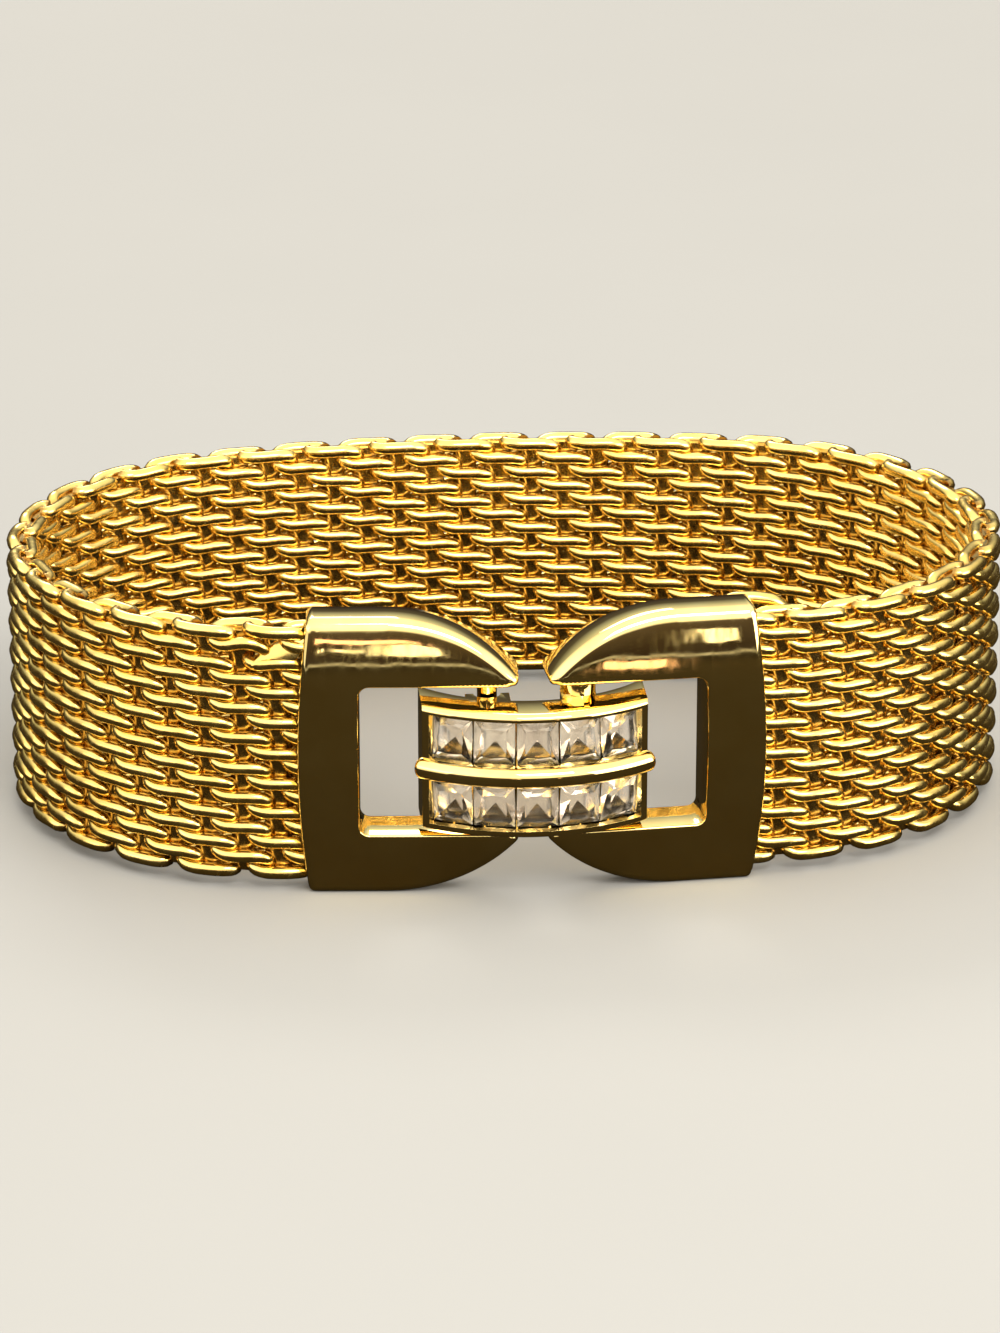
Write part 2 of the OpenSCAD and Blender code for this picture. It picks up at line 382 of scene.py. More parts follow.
def band_start_angle():
    """Where the band's middle line meets the seat of the right frame, round the right end's centre."""
    along = END_X * math.cos(BOW_LEAN) + END_Y * math.sin(BOW_LEAN)
    seat = BOW_HALF_W - SEAT_D + SEAT_GAP
    return BOW_LEAN - math.acos((seat - along) / (END_R - BAND_T / 2))


BAND_START = band_start_angle()
END_MID_R = END_R - BAND_T / 2
REAR_MID_R = REAR_R - BAND_T / 2
END_LENGTH = END_MID_R * (REAR_ANGLE - BAND_START)
REAR_LENGTH = REAR_MID_R * (math.pi - 2 * REAR_ANGLE)
BAND_LENGTH = 2 * END_LENGTH + REAR_LENGTH


def on_band(along, out, height):
    """Points of the model at these lengths along the band's middle line and depths outside it."""
    first = along < END_LENGTH
    last = along > END_LENGTH + REAR_LENGTH
    angle = np.where(
        first,
        BAND_START + along / END_MID_R,
        np.where(
            last,
            math.pi - REAR_ANGLE + (along - END_LENGTH - REAR_LENGTH) / END_MID_R,
            REAR_ANGLE + (along - END_LENGTH) / REAR_MID_R,
        ),
    )
    ends = first | last
    radius = np.where(ends, END_MID_R, REAR_MID_R) + out
    centre_x = np.where(first, END_X, np.where(last, -END_X, 0))
    centre_y = np.where(ends, END_Y, REAR_Y)
    points = [centre_x + radius * np.cos(angle), centre_y + radius * np.sin(angle), height]
    return to_model(np.stack(points, axis=-1))


def coil_section():
    """Share of the way round one turn, and where the wire is there: along the band and outward."""
    half_w = COIL_W / 2 - WIRE_R
    half_d = BAND_T / 2 - WIRE_R
    angle = np.linspace(0, 2 * math.pi, SECTION_POINTS)
    power = 2 / COIL_SQUARENESS
    x = half_w * np.sign(np.cos(angle)) * np.abs(np.cos(angle)) ** power
    out = half_d * np.sign(np.sin(angle)) * np.abs(np.sin(angle)) ** power
    steps = np.hypot(np.diff(x), np.diff(out))
    share = np.concatenate([[0], np.cumsum(steps)]) / steps.sum()
    return share, x, out


def round_turn(sides):
    """Angles of points evenly spaced round a circle."""
    return np.arange(sides) * 2 * math.pi / sides


def tube(path, middle, radius):
    """Points and faces of a wire round a path. Its rings are turned from the middle line given."""
    run = np.gradient(path, axis=0)
    run /= np.linalg.norm(run, axis=1, keepdims=True)
    side = path - middle
    side -= (side * run).sum(1, keepdims=True) * run
    side /= np.linalg.norm(side, axis=1, keepdims=True)
    other = np.cross(run, side)
    turn = round_turn(WIRE_SIDES)
    ring = np.cos(turn)[None, :, None] * side[:, None] + np.sin(turn)[None, :, None] * other[:, None]
    points = (path[:, None] + radius * MM * ring).reshape(-1, 3)
    return points, tube_faces(len(path), WIRE_SIDES)


def tube_faces(rings, sides):
    """Faces that join rings of points to a closed tube."""
    row = np.arange(rings - 1)[:, None] * sides
    here = row + np.arange(sides)
    there = row + (np.arange(sides) + 1) % sides
    faces = np.stack([here, there, there + sides, here + sides], axis=-1).reshape(-1, 4).tolist()
    faces.append(list(range(sides))[::-1])
    faces.append([(rings - 1) * sides + k for k in range(sides)])
    return faces


def pull_open(along, height):
    """Heights of wires, pushed apart where the weave is damaged."""
    beside = along - (BAND_LENGTH - HOLE_FROM_END)
    above = height - HOLE_Z
    reach = np.exp(-(beside**2 + above**2) / HOLE_R**2)
    return height + HOLE_PULL * np.tanh(above / HOLE_SOFTNESS) * reach


def smooth_run(stops, count):
    """Values that pass through a list of stops, evenly sampled, with their kinks rounded off."""
    stops = np.array(stops, float)
    at = np.linspace(0, len(stops) - 1, count)
    values = np.stack([np.interp(at, np.arange(len(stops)), column) for column in stops.T])
    kernel = np.hanning(count // len(stops) + 2)[1:-1]
    reach = len(kernel) // 2
    padded = np.pad(values, ((0, 0), (reach, len(kernel) - 1 - reach)), "edge")
    return np.stack([np.convolve(row, kernel / kernel.sum(), "valid") for row in padded])


def flattened_wire():
    """The flattened wire beside the left frame's top."""
    from_end, height, half_h = smooth_run(FLAT_WIRE, FLAT_WIRE_POINTS)
    turn = round_turn(WIRE_SIDES)
    along = np.repeat(BAND_LENGTH - from_end, WIRE_SIDES)
    lean = FLAT_WIRE_SLOPE * half_h[:, None] * (1 + np.sin(turn))
    out = (BAND_T / 2 - FLAT_WIRE_HALF_D * (1 - np.cos(turn)) - lean).ravel()
    z = (height[:, None] + half_h[:, None] * np.sin(turn)).ravel()
    return on_band(along, out, z), tube_faces(len(height), WIRE_SIDES), np.zeros(len(z))


def loop_wire():
    """The thick loop behind the right frame's top corner."""
    along, height = smooth_run(LOOP_WIRE, LOOP_WIRE_POINTS)
    inside = np.full_like(along, -BAND_T / 2 - LOOP_WIRE_R)
    path = on_band(along, inside, height)
    points, faces = tube(path, on_band(along, inside + 1, height), LOOP_WIRE_R)
    return points, faces, np.zeros(len(points))


def wander(turns, size):
    """A slow random drift along a coil's turns, in millimetres."""
    return np.interp(turns, WANDER_TURNS, RANDOM.normal(0, size, len(WANDER_TURNS)))


def coil(number, middle):
    """One flat coil of the band, as points and faces, with how deep in the weave it lies."""
    share, section_x, section_out = coil_section()
    # Every second coil starts half a turn earlier, so that it passes between its neighbours' wires
    odd = number % 2
    turns = -odd / 2 + np.linspace(0, TURNS + 0.5, round((TURNS + 0.5) * POINTS_PER_TURN) + 1)
    part = turns % 1.0
    climb = CLIMB_SHARE * (1 + RANDOM.normal(0, CLIMB_SPREAD))
    gathered = climb * (np.sin(4 * math.pi * part) + np.sin(8 * math.pi * part) / 8)
    level = (odd / 2 - 0.25 + turns + gathered) * TURN_PITCH
    height = WIRE_R + level + wander(turns, HEIGHT_SPREAD)
    height = BASE_Z + np.clip(height, WIRE_R, BAND_H - WIRE_R)
    along = middle + np.interp(part, share, section_x) + wander(turns, ALONG_SPREAD)
    along = np.clip(along, WIRE_R + END_GAP, BAND_LENGTH - WIRE_R - END_GAP)
    out = np.interp(part, share, section_out)
    height = pull_open(along, height)
    inside = np.full_like(out, np.clip(middle, 2 * WIRE_R, BAND_LENGTH - 2 * WIRE_R))
    path = on_band(along, out, height)
    points, faces = tube(path, on_band(inside, np.zeros_like(out), height), WIRE_R)
    # How deep the wire lies; the gold darkens deep wire with painted shade
    depth = 1 - np.abs(out) / np.abs(section_out).max()
    return points, faces, np.repeat(depth, WIRE_SIDES)


def pin(along):
    """The flat, crimped pin inside a coil, as points and faces, with how deep in the weave it lies."""
    levels = np.linspace(WIRE_R, BAND_H - WIRE_R, PIN_POINTS_PER_TURN * TURNS + 1)
    crimp = PIN_CRIMP * np.sin(2 * math.pi * levels / TURN_PITCH)
    turn = round_turn(WIRE_SIDES)
    across = (along + crimp[:, None] + PIN_HALF_W * np.cos(turn)).ravel()
    out = np.tile(PIN_HALF_D * np.sin(turn), len(levels))
    points = on_band(across, out, np.repeat(BASE_Z + levels, WIRE_SIDES))
    return points, tube_faces(len(levels), WIRE_SIDES), np.full(len(points), PIN_RECESS)


def make_band(material):
    """The woven band, in a few pieces that each hold a run of coils and pins, and the damage."""
    room = BAND_LENGTH - 2 * FIRST_COIL
    count = round(room / COIL_STEP) + 1
    middles = [FIRST_COIL + number * (room / (count - 1)) for number in range(count)]
    pieces = math.ceil(count / COILS_PER_PIECE)
    for piece in range(pieces):
        points = []
        faces = []
        depths = []
        first = piece * count // pieces
        last = (piece + 1) * count // pieces
        wires = [coil(number, middles[number]) for number in range(first, last)]
        wires += [pin(middles[number]) for number in range(max(first, 1), min(last, count - 1))]
        if piece == 0:
            wires.append(loop_wire())
        if piece == pieces - 1:
            wires.append(flattened_wire())
        for more, quads, depth in wires:
            base = sum(len(p) for p in points)
            points.append(more)
            depths.append(depth)
            faces.extend([[base + k for k in quad] for quad in quads])
        name = f"woven_coils_{piece + 1}"
        obj = new_object(name, np.concatenate(points), faces, material, smooth_angle=50)
        # The depths that the gold darkens into painted shade
        recess = obj.data.attributes.new(RECESS, "FLOAT", "POINT")
        recess.data.foreach_set("value", np.concatenate(depths))
        finish_piece(obj, "band", "gold_mesh", "mesh_band")


# Bow frames

# Rounding of a frame's face, each a width and a depth in millimetres
ARM_RIM = (0.6, 0.5)
SIDE_RIM = (0.45, 0.32)
PILLOW = (1.5, 0.04)
WINDOW_RIM = (0.24, 0.22)
FRAME_CORNER_R = 0.45
# Thickness of a frame's lip where its face falls back at the top and bottom
LIP_EDGE_T = 0.95
# How far a post reaches into both arms
POST_SINK = 0.5
# How far apart points stand on a frame's outline, on its small arcs and inside its face
LINE_STEP = 0.15
CORNER_STEP = 0.06
WINDOW_STEP = 0.08
FACE_STEP = 0.4
# Spots on the arms' round rim that get a ring of points, in degrees from its outer edge
RIM_ANGLES = (20, 30, 40, 50, 60, 70, 80, 90)


def arc(centre, r, start, end, step=LINE_STEP):
    """Points on an arc about a centre, in degrees, about a step apart, without its last one."""
    count = max(3, round(abs(math.radians(end - start)) * r / step))
    angles = np.radians(start + (end - start) * np.arange(count) / count)
    return np.stack([centre[0] + r * np.cos(angles), centre[1] + r * np.sin(angles)], axis=-1)


def line(start, end):
    """Points on a line, about a step apart, without its last one."""
    start = np.array(start, float)
    end = np.array(end, float)
    count = max(1, round(np.linalg.norm(end - start) / LINE_STEP))
    return start + (end - start) * (np.arange(count) / count)[:, None]


def frame_outline():
    """Outline of the right frame in x and z, from mid-height, and which of its points are the window's."""
    bulge_r = (MID_Z**2 + EDGE_BULGE**2) / (2 * EDGE_BULGE)
    bulge_x = BOW_HALF_W - bulge_r
    corner_z = MID_Z - FRAME_CORNER_R
    corner_x = bulge_x + math.sqrt((bulge_r - FRAME_CORNER_R) ** 2 - corner_z**2)
    corner_turn = math.degrees(math.atan2(corner_z, corner_x - bulge_x))
    tip_x = TIP_GAP / 2 + TIP_R
    tip_z = WINDOW_H / 2 + TIP_R
    drop = MID_Z - tip_z
    arm_r = ((ARM_START - tip_x) ** 2 + drop**2 - TIP_R**2) / (2 * (drop - TIP_R))
    arm_z = MID_Z - arm_r
    tip_turn = math.degrees(math.atan2(tip_z - arm_z, tip_x - ARM_START))
    window_x = BOW_HALF_W - UPRIGHT_W
    inner_x = window_x - WINDOW_CORNER_R
    inner_z = WINDOW_H / 2 - WINDOW_CORNER_R
    outer = [
        arc((bulge_x, 0), bulge_r, 0, corner_turn),
        arc((corner_x, corner_z), FRAME_CORNER_R, corner_turn, 90, CORNER_STEP),
        line((corner_x, MID_Z), (ARM_START, MID_Z)),
        arc((ARM_START, arm_z), arm_r, 90, tip_turn),
        arc((tip_x, tip_z), TIP_R, tip_turn, 270, CORNER_STEP),
    ]
    window = [
        line((tip_x, WINDOW_H / 2), (inner_x, WINDOW_H / 2)),
        arc((inner_x, inner_z), WINDOW_CORNER_R, 90, 0, WINDOW_STEP),
        line((window_x, inner_z), (window_x, 0)),
    ]
    upper = np.concatenate(outer + window)
    in_window = np.zeros(len(upper), bool)
    in_window[sum(len(p) for p in outer):] = True
    lower = upper[:0:-1] * [1, -1]
    middle = np.array([[window_x, 0.0]])
    points = np.concatenate([upper, middle, lower])
    flags = np.concatenate([in_window, [True], in_window[:0:-1]])
    return points, flags


def distance_to(points, starts, ends):
    """Distance in the plane from each point to the nearest of some segments."""
    run = ends - starts
    length = (run**2).sum(1)
    gap = points[:, None] - starts[None]
    share = np.clip((gap * run).sum(2) / length, 0, 1)
    nearest = gap - share[..., None] * run
    return np.sqrt((nearest**2).sum(2)).min(1)


def quarter_round(distance, width, depth):
    """How far a rounded edge falls back at a distance from the outline."""
    share = np.clip(1 - distance / width, 0, 1)
    return depth * (1 - np.sqrt(1 - share**2))


def dome_depth(z):
    """How far the domed face falls back at a height from mid-height."""
    dome_r = (MID_Z**2 + FACE_DOME**2) / (2 * FACE_DOME)
    return dome_r - np.sqrt(dome_r**2 - z**2)


def face_depth(points, arm_distance, side_distance, window_distance):
    """How far a frame's face lies behind its front plane."""
    outer_distance = np.minimum(arm_distance, side_distance)
    pillow = PILLOW[1] * np.clip(1 - outer_distance / PILLOW[0], 0, 1) ** 2
    arm = quarter_round(arm_distance, *ARM_RIM)
    side = quarter_round(side_distance, *SIDE_RIM)
    depth = dome_depth(points[:, 1]) + pillow + np.maximum(arm, side)
    return depth + quarter_round(window_distance, *WINDOW_RIM)


def inset_points(outline, distance, ends, minimum):
    """The outline moved inward, without the points that end up nearer to the outline than they should."""
    run = np.roll(outline, -1, 0) - np.roll(outline, 1, 0)
    inward = np.stack([-run[:, 1], run[:, 0]], axis=-1)
    inward /= np.linalg.norm(inward, axis=1, keepdims=True)
    points = outline + inward * distance
    keep = distance_to(points, outline, ends) > 0.97 * distance
    points = points[keep]
    apart = [0]
    for k in range(1, len(points)):
        if np.linalg.norm(points[k] - points[apart[-1]]) > minimum:
            apart.append(k)
    return points[apart]


def frame_face(outline, in_window):
    """Triangles that fill the outline, fine near its edges, with each point's depth."""
    ends = np.roll(outline, -1, 0)
    window_edges = in_window & np.roll(in_window, -1)
    side_x = BOW_HALF_W - 2 * EDGE_BULGE
    side_edges = (np.minimum(outline[:, 0], ends[:, 0]) > side_x) & (np.abs(outline[:, 1]) < MID_Z - 0.5)
    arm_edges = ~window_edges & ~side_edges
    # Rings of points follow the outline, close together on the rim and wider apart on the pillow
    rings = [ARM_RIM[0] * (1 - math.cos(math.radians(a))) for a in RIM_ANGLES]
    rings += list(np.arange(ARM_RIM[0] + 0.2, PILLOW[0] + 0.1, 0.25))
    inner = [inset_points(outline, d, ends, min(0.3, 0.1 + 0.3 * d)) for d in rings]
    low = outline.min(0)
    high = outline.max(0)
    # The middle is filled with points in rows that make nearly even triangles
    xs = np.arange(low[0], high[0], FACE_STEP)
    zs = np.arange(low[1], high[1], FACE_STEP * 0.866)
    grid = np.array([[x + FACE_STEP / 2 * (j % 2), z] for j, z in enumerate(zs) for x in xs])
    grid = grid[inside_polygon(grid, outline)]
    grid = grid[distance_to(grid, outline, ends) > rings[-1] + LINE_STEP]
    extra = np.concatenate(inner + [grid])
    edges = [(k, (k + 1) % len(outline)) for k in range(len(outline))]
    points = [Vector(p) for p in np.concatenate([outline, extra])]
    placed, _, triangles, *_ = delaunay_2d_cdt(points, edges, [], 1, 1e-5)
    placed = np.array([[p.x, p.y] for p in placed])
    distances = [distance_to(placed, outline[e], ends[e]) for e in (arm_edges, side_edges, window_edges)]
    return placed, triangles, face_depth(placed, *distances)


def inside_polygon(points, outline):
    """Which points lie inside a closed outline."""
    inside = np.zeros(len(points), bool)
    x = points[:, 0]
    z = points[:, 1]
    for (x0, z0), (x1, z1) in zip(outline, np.roll(outline, -1, 0)):
        crosses = (z0 > z) != (z1 > z)
        with np.errstate(divide="ignore", invalid="ignore"):
            inside ^= crosses & (x < (x1 - x0) * (z - z0) / (z1 - z0) + x0)
    return inside


def place_on_bow(points, side):
    """Points of a half of the bow, upright with its face at y = 0, as points of the model."""
    x, y, z = np.asarray(points, float).T
    c = math.cos(BOW_LEAN)
    s = math.sin(BOW_LEAN)
    return to_model(np.stack([side * (x * c - y * s), x * s + y * c, z + MID_Z], axis=-1))


def side_faces(faces, side):
    """Faces of the right half as they are, and turned round for the mirrored left half."""
    return [list(f) if side > 0 else list(f)[::-1] for f in faces]


def block(low, high, place):
    """A closed box between two corners of a local frame, placed by a function."""
    corners = [[x, y, z] for x in (low[0], high[0]) for y in (low[1], high[1]) for z in (low[2], high[2])]
    faces = [(0, 1, 3, 2), (4, 6, 7, 5), (0, 4, 5, 1), (2, 3, 7, 6), (0, 2, 6, 4), (1, 5, 7, 3)]
    return place(corners), faces


PILLAR_SIDES = 48


def pillar(x, y, r, half_h, place, side=1):
    """A closed upright cylinder of a local frame, placed by a function."""
    turn = round_turn(PILLAR_SIDES)
    ring = np.stack([x + r * np.cos(turn), y + r * np.sin(turn)], axis=-1)
    low = np.column_stack([ring, np.full(PILLAR_SIDES, -half_h)])
    high = np.column_stack([ring, np.full(PILLAR_SIDES, half_h)])
    return place(np.concatenate([low, high])), side_faces(tube_faces(2, PILLAR_SIDES), side)


def seat_cutter(place):
    """The slot behind a frame's lip for the mesh's end. Where the face falls back, its front does too."""
    half_h = BAND_H / 2 + SEAT_GAP
    z = np.linspace(-half_h, half_h, 25)
    front = np.column_stack([np.maximum(LIP_T, dome_depth(z) + LIP_EDGE_T), z])
    section = np.concatenate([front, [(2 * FRAME_T, half_h), (2 * FRAME_T, -half_h)]])
    count = len(section)
    points = [(x, y, z) for x in (BOW_HALF_W - SEAT_D, 2 * BOW_HALF_W) for y, z in section]
    faces = [(k, (k + 1) % count, count + (k + 1) % count, count + k) for k in range(count)]
    faces.append(tuple(range(count)))
    faces.append(tuple(range(count, 2 * count)))
    return place(points), faces


def make_frame(name, side, material):
    """One half of the bow: side is 1 for the right frame and -1 for the left."""
    outline, in_window = frame_outline()
    placed, triangles, depth = frame_face(outline, in_window)
    count = len(placed)
    front = np.column_stack([placed[:, 0], depth, placed[:, 1]])
    back = np.column_stack([outline[:, 0], np.full(len(outline), FRAME_T), outline[:, 1]])
    faces = [t if looks_forward(front, t) else t[::-1] for t in triangles]
    rim = len(outline)
    for k in range(rim):
        following = (k + 1) % rim
        faces.append((k, count + k, count + following, following))
    faces.append([count + k for k in range(rim)][::-1])
    local = np.concatenate([front, back])

    def place(points):
        return place_on_bow(points, side)

    obj = new_object(f"polished_{name}", place(local), side_faces(faces, side), material)
    combine(obj, new_object("seat_cutter", *seat_cutter(place), material), "DIFFERENCE")
    post = pillar(POST_SPREAD, POST_DEPTH, POST_R, WINDOW_H / 2 + POST_SINK, place, side)
    combine(obj, new_object("post", *post, material), "UNION")
    round_edges(obj, width=0.12, steps=2, angle=50)
    shade_smooth(obj.data, angle=40)
    finish_piece(obj, "band", "polished_gold", name)


def looks_forward(points, triangle):
    """Whether a triangle of x, y, z points looks towards the front, where y falls."""
    a, b, c = (points[k] for k in triangle[:3])
    return np.cross(b - a, c - a)[1] < 0


# Jewelled bar

BAR_EDGE_R = 0.45
BAR_STEPS = 61
CHANNEL_STEPS = 49
RIDGE_SIDES = 32
# Length of the ridge's rounded ends, as a share of its radius, and how far they narrow
RIDGE_END = 0.7
RIDGE_POINT = 0.02
# Blocks behind the bar that carry the sleeve and the catch: how much lower than the bar they are, how far
# they sink into it, and the catch's wall
BACKING_INSET = 0.02
BACKING_SINK = 0.7
CATCH_WALL = 0.6


def on_arch(points):
    """Points of the arch, given as radius, height and angle in radians to the right of its middle."""
    r, z, angle = np.asarray(points, float).T
    return to_model(np.stack([r * np.sin(angle), BAR_Y - r * np.cos(angle), z + MID_Z], axis=-1))


def arch_sweep(section, angles):
    """A closed outline of radius and height, swept through angles that may differ from point to point."""
    rings = [np.column_stack([section, np.broadcast_to(angle, len(section))]) for angle in angles]
    return on_arch(np.concatenate(rings)), tube_faces(len(rings), len(section))


def bar_body():
    """The bar's solid arch, with its front edges well rounded. Its ends are flat."""
    half_h = BAR_H / 2
    turn = np.radians(np.linspace(0, 90, 8))
    r = BAR_R - BAR_EDGE_R + BAR_EDGE_R * np.cos(turn)
    z = half_h - BAR_EDGE_R + BAR_EDGE_R * np.sin(turn)
    upper = np.stack([r, z], axis=-1)
    back = [(BAR_R - BAR_T, half_h), (BAR_R - BAR_T, -half_h)]
    section = np.concatenate([upper, back, upper[::-1] * [1, -1]])
    half_angles = np.array([math.asin(BAR_W / 2 / r) for r in section[:, 0]])
    return arch_sweep(section, np.linspace(-1, 1, BAR_STEPS)[:, None] * half_angles[None])


def channel(side):
    """The space of one row of stones: side is 1 above the ridge and -1 below it."""
    low, high = sorted((side * RIDGE_R, side * (RIDGE_R + ROW_H)))
    inner = BAR_R - CHANNEL_D
    outer = BAR_R + 1
    section = [(inner, low), (outer, low), (outer, high), (inner, high)]
    return arch_sweep(section, np.linspace(-CHANNEL_ANGLE, CHANNEL_ANGLE, CHANNEL_STEPS)[:, None])


def ridge():
    """The half-round ridge, with rounded ends that run past the bar."""
    r_middle = BAR_R + RIDGE_PROUD - RIDGE_R
    angles = np.linspace(-RIDGE_ANGLE, RIDGE_ANGLE, BAR_STEPS)
    cap = np.radians(np.linspace(0, 90, 9))
    end_angle = RIDGE_R * RIDGE_END / r_middle
    shrink = np.concatenate([np.cos(cap)[:0:-1], np.ones(len(angles)), np.cos(cap)[1:]])
    shrink = np.maximum(shrink, RIDGE_POINT)
    before = -RIDGE_ANGLE - end_angle * np.sin(cap)[:0:-1]
    after = RIDGE_ANGLE + end_angle * np.sin(cap)[1:]
    angles = np.concatenate([before, angles, after])
    angles *= RIDGE_ANGLE / angles.max()
    turn = round_turn(RIDGE_SIDES)
    rings = []
    for angle, size in zip(angles, shrink):
        r = r_middle + RIDGE_R * size * np.cos(turn)
        z = RIDGE_R * size * np.sin(turn)
        rings.append(np.column_stack([r, z, np.full(RIDGE_SIDES, angle)]))
    return on_arch(np.concatenate(rings)), tube_faces(len(rings), RIDGE_SIDES)


def at_mid_height(points):
    """Points of the bow's place whose heights are from mid-height, as points of the model."""
    points = np.array(points, float)
    points[:, 2] += MID_Z
    return to_model(points)


def make_bar(material):
    """The arched bar with its channels, ridge, hinge sleeve and catch groove."""
    obj = new_object("clasp_bar_body", *bar_body(), material)
    half_h = BAR_H / 2 - BACKING_INSET
    front = BAR_Y - BAR_R + BAR_T - BACKING_SINK

    def backing(x, half_w):
        return block((x - half_w, front, -half_h), (x + half_w, HINGE_Y, half_h), at_mid_height)

    parts = [
        (backing(HINGE_X, SLEEVE_R), "UNION"),
        (backing(-HINGE_X, GROOVE_R + CATCH_WALL), "UNION"),
        (pillar(HINGE_X, HINGE_Y, SLEEVE_R, SLEEVE_H / 2, at_mid_height), "UNION"),
        (pillar(HINGE_X, HINGE_Y, BORE_R, BAND_H, at_mid_height), "DIFFERENCE"),
        (pillar(-HINGE_X, HINGE_Y, GROOVE_R, BAND_H, at_mid_height), "DIFFERENCE"),
        (channel(1), "DIFFERENCE"),
        (channel(-1), "DIFFERENCE"),
    ]
    for part, operation in parts:
        combine(obj, new_object("part", *part, material), operation)
    round_edges(obj, width=0.16, steps=4, angle=40)
    shade_smooth(obj.data, angle=35)
    finish_piece(obj, "lever", "polished_gold", "clasp_bar")
    rib = new_object("clasp_bar_ridge", *ridge(), material, smooth_angle=60)
    finish_piece(rib, "lever", "polished_gold")


# Stones

# Sizes of a stone's table and girdle as shares of the stone's, at its corners and at its sides' middles
TABLE_SHARES = (0.60, 0.66)
GIRDLE_SHARES = (0.985, 1.0)


def stone_sizes():
    """Half the width and half the height of a stone, and how far round the arch each next one stands."""
    step = 2 * CHANNEL_ANGLE / STONES_IN_ROW
    girdle_r = BAR_R - TABLE_INSET - CROWN_H - GIRDLE_T
    return girdle_r * math.tan(step / 2) - STONE_GAP, ROW_H / 2 - STONE_GAP, step


def stone_ring(half_w, half_h, shares, depth):
    """Eight points round a stone, from the middle of a side, at these shares of the stone's size."""
    ring = []
    for k in range(8):
        x = round(math.cos(math.radians(45 * k)))
        z = round(math.sin(math.radians(45 * k)))
        grow = shares[0] if k % 2 else shares[1]
        ring.append((half_w * x * grow, depth, half_h * z * grow))
    return ring


def stone(half_w, half_h):
    """A square cut stone with its table at y = 0, its faces, and how many of them belong to its back."""
    base = CROWN_H + GIRDLE_T
    rings = [
        stone_ring(half_w, half_h, TABLE_SHARES, 0.0),
        stone_ring(half_w, half_h, GIRDLE_SHARES, CROWN_H),
        stone_ring(half_w, half_h, GIRDLE_SHARES, base),
    ]
    points = [p for ring in rings for p in ring] + [(0, base + PAVILION_H, 0)]
    faces = [tuple(range(8))]
    for ring in range(2):
        for k in range(8):
            near = 8 * ring + k
            following = 8 * ring + (k + 1) % 8
            faces.append((near, near + 8, following))
            faces.append((following, near + 8, following + 8))
    for k in range(8):
        faces.append((16 + k, 24, 16 + (k + 1) % 8))
    return np.array(points), faces, 8


def make_stones(crystal, foil):
    """Both rows of stones. Each is clear in front and backed with foil."""
    half_w, half_h, step = stone_sizes()
    points, faces, back_faces = stone(half_w, half_h)
    for row, side in (("upper", 1), ("lower", -1)):
        for place in range(1, STONES_IN_ROW + 1):
            lean = side * ROW_LEAN
            c = math.cos(lean)
            s = math.sin(lean)
            y = points[:, 1] * c + points[:, 2] * s
            z = points[:, 2] * c - points[:, 1] * s
            turn = (place - (STONES_IN_ROW + 1) / 2) * step
            depth = BAR_R - TABLE_INSET - y
            x = points[:, 0] * math.cos(turn) + depth * math.sin(turn)
            y = BAR_Y + points[:, 0] * math.sin(turn) - depth * math.cos(turn)
            z = z + MID_Z + side * (RIDGE_R + ROW_H / 2)
            name = f"{row}_stone_{place}"
            placed = to_model(np.stack([x, y, z], axis=-1))
            obj = new_object(f"cut_{name}", placed, faces, crystal)
            obj.data.materials.append(foil)
            for polygon in obj.data.polygons[-back_faces:]:
                polygon.material_index = 1
            finish_piece(obj, "lever", "crystal", name)


# Stage

# The studio dome's colour by height, from 0 at the horizon to 1 overhead
FRONT_SKY = (
    (0.00, (0.02, 0.014, 0.01)),
    (0.15, (0.06, 0.045, 0.035)),
    (0.21, (0.85, 0.81, 0.73)),
    (0.45, (1.00, 0.96, 0.88)),
    (0.95, (0.90, 0.86, 0.78)),
)
REAR_SKY = (
    (0.00, (0.02, 0.014, 0.01)),
    (0.22, (0.05, 0.045, 0.035)),
    (0.37, (0.24, 0.25, 0.21)),
    (0.60, (0.60, 0.58, 0.52)),
    (0.95, (0.90, 0.86, 0.78)),
)
# Where the front sky starts to give way to the rear one, and where it has done so, from -1 to 1 along y
SKY_TURN = (-0.35, 0.25)
SKY_STRENGTH = 2.1

# Soft lights: place and size in metres, power in watts and colour
LIGHTS = (
    ("front_light", (0.12, -0.40, 0.42), (0.26, 0.16), 1.6, (1.0, 0.97, 0.90)),
    ("rear_light", (-0.10, 0.45, 0.40), (0.26, 0.16), 1.0, (1.0, 0.96, 0.88)),
    ("right_light", (0.42, -0.22, 0.14), (0.40, 0.26), 1.5, (1.0, 0.97, 0.90)),
    ("left_light", (-0.42, -0.22, 0.12), (0.40, 0.22), 0.30, (1.0, 0.96, 0.86)),
)
PINK = (1.0, 0.62, 0.48)
CREAM = (1.0, 0.92, 0.76)
# Small low lights that the frames mirror as streaks: place and size in metres, and colour
STREAKS = (
    ((-0.024, -0.50, 0.056), (0.040, 0.010), PINK),
    ((-0.033, -0.50, 0.036), (0.005, 0.006), CREAM),
    ((-0.025, -0.50, 0.037), (0.004, 0.006), CREAM),
    ((-0.017, -0.50, 0.036), (0.005, 0.005), CREAM),
    ((-0.006, -0.50, 0.038), (0.010, 0.020), CREAM),
    ((0.197, -0.50, 0.048), (0.005, 0.030), CREAM),
    ((0.099, -0.27, 0.0075), (0.007, 0.008), PINK),
)
STREAK_RADIANCE = 3.0

CAMERA_TARGET = Vector((-0.4, -2.5, 10.5)) * MM
CAMERA_DISTANCE = 399 * MM
CAMERA_ELEVATION = math.radians(20.6)
# Focal length in heights of the picture
CAMERA_FOCAL = 5460 / 1333


